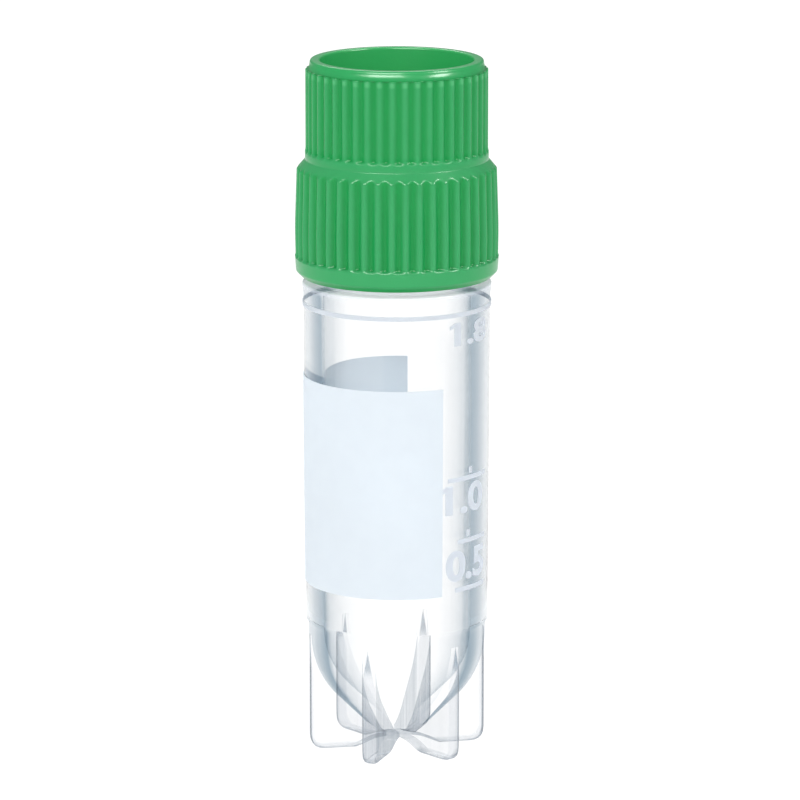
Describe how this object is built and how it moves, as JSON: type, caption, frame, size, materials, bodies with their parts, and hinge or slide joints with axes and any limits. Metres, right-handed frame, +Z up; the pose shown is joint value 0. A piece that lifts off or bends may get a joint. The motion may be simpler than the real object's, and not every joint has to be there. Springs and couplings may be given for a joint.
{
  "type": "cryovial",
  "caption": "Self-standing clear storage vial with a star foot and a ribbed, two-step green screw cap, for freezing small liquid samples.",
  "frame": {"origin": "on the vial's axis, at the plane that the feet stand on", "axes": "+Z up along the vial's axis, -Y towards the front with the writing panel on the left and the graduations on the right"},
  "size_m": [0.0138, 0.0138, 0.0472],
  "materials": {
    "clear_plastic": "clear, smooth, slightly blue",
    "green_plastic": "opaque green, satin gloss",
    "silicone": "translucent white, matt",
    "white_ink": "white print, matt, slightly see-through"
  },
  "bodies": {
    "tube": {"vial_tube": "clear_plastic", "writing_panel": "white_ink", "graduation_print": "white_ink"},
    "gasket": {"cap_gasket": "silicone"},
    "cap": {"screw_cap": "green_plastic"}
  },
  "joints": [
    {"name": "cap_lift", "type": "slide", "parent": "tube", "child": "gasket", "axis": [0, 0, 1], "range_m": [0, 0.00675]},
    {"name": "cap_turn", "type": "hinge", "parent": "gasket", "child": "cap", "pos_m": [0, 0, 0.036], "axis": [0, 0, 1], "range_deg": [0, 810.1]}
  ],
  "couplings": [
    {"joint": "cap_turn", "follows": "cap_lift", "rad_per_m": 2094.4}
  ]
}
